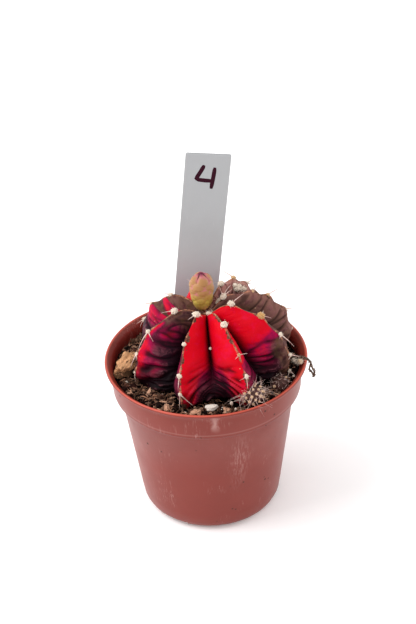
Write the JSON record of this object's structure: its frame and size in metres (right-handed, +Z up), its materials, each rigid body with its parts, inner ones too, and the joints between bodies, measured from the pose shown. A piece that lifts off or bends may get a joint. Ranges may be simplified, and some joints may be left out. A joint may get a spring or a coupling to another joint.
{
  "type": "potted moon cactus",
  "caption": "Small ribbed moon cactus with red and purple skin, a flower bud and offsets, standing in a round plastic nursery pot with a plant label pushed into the mix.",
  "frame": {"origin": "centre of the pot's foot, on the surface that it stands on", "axes": "+Z up along the pot's axis, -Y towards the front, where the lowest-leaning ribs are"},
  "size_m": [0.0608, 0.06, 0.1026],
  "materials": {
    "pot_plastic": "satin moulded terracotta-coloured plastic with light scuffs",
    "potting_mix": "dark fibrous peat mix with chips and grit",
    "cactus_skin": "variegated red to purple-brown waxy skin with fine wrinkles",
    "areole_wool": "short cream wool with pale spines",
    "bud_skin": "overlapping fleshy scales, yellow-green to dull pink",
    "offset_skin": "dark brown beaded skin with cream tufts",
    "dry_flower": "dry brown shrivelled tissue",
    "label_plastic": "off-white matt plastic sheet",
    "wood_chip": "rough orange-brown bark and wood",
    "perlite": "chalky white expanded mineral grain"
  },
  "bodies": {
    "root": {"pot": "pot_plastic", "potting_mix": "potting_mix", "cactus_stem": "cactus_skin", "flower_bud": "bud_skin", "offset_1": "offset_skin", "offset_2": "offset_skin", "withered_flower": "dry_flower", "plant_label": "label_plastic", "bark_chip": "wood_chip", "wood_chip_1": "wood_chip", "wood_chip_2": "wood_chip", "wood_chip_3": "wood_chip", "perlite_1": "perlite", "perlite_2": "perlite", "areole_1_1": "areole_wool", "areole_1_2": "areole_wool", "areole_1_3": "areole_wool", "areole_1_4": "areole_wool", "areole_2_1": "areole_wool", "areole_2_2": "areole_wool", "areole_2_3": "areole_wool", "areole_3_1": "areole_wool", "areole_3_2": "areole_wool", "areole_3_3": "areole_wool", "areole_3_4": "areole_wool", "areole_3_5": "areole_wool", "areole_4_1": "areole_wool", "areole_4_2": "areole_wool", "areole_4_3": "areole_wool", "areole_4_4": "areole_wool", "areole_4_5": "areole_wool", "areole_5_1": "areole_wool", "areole_5_2": "areole_wool", "areole_5_3": "areole_wool", "areole_5_4": "areole_wool", "areole_6_1": "areole_wool", "areole_6_2": "areole_wool", "areole_6_3": "areole_wool", "areole_7_1": "areole_wool", "areole_7_2": "areole_wool", "areole_7_3": "areole_wool", "areole_7_4": "areole_wool", "areole_8_1": "areole_wool", "areole_8_2": "areole_wool", "areole_8_3": "areole_wool", "areole_8_4": "areole_wool"}
  },
  "joints": []
}
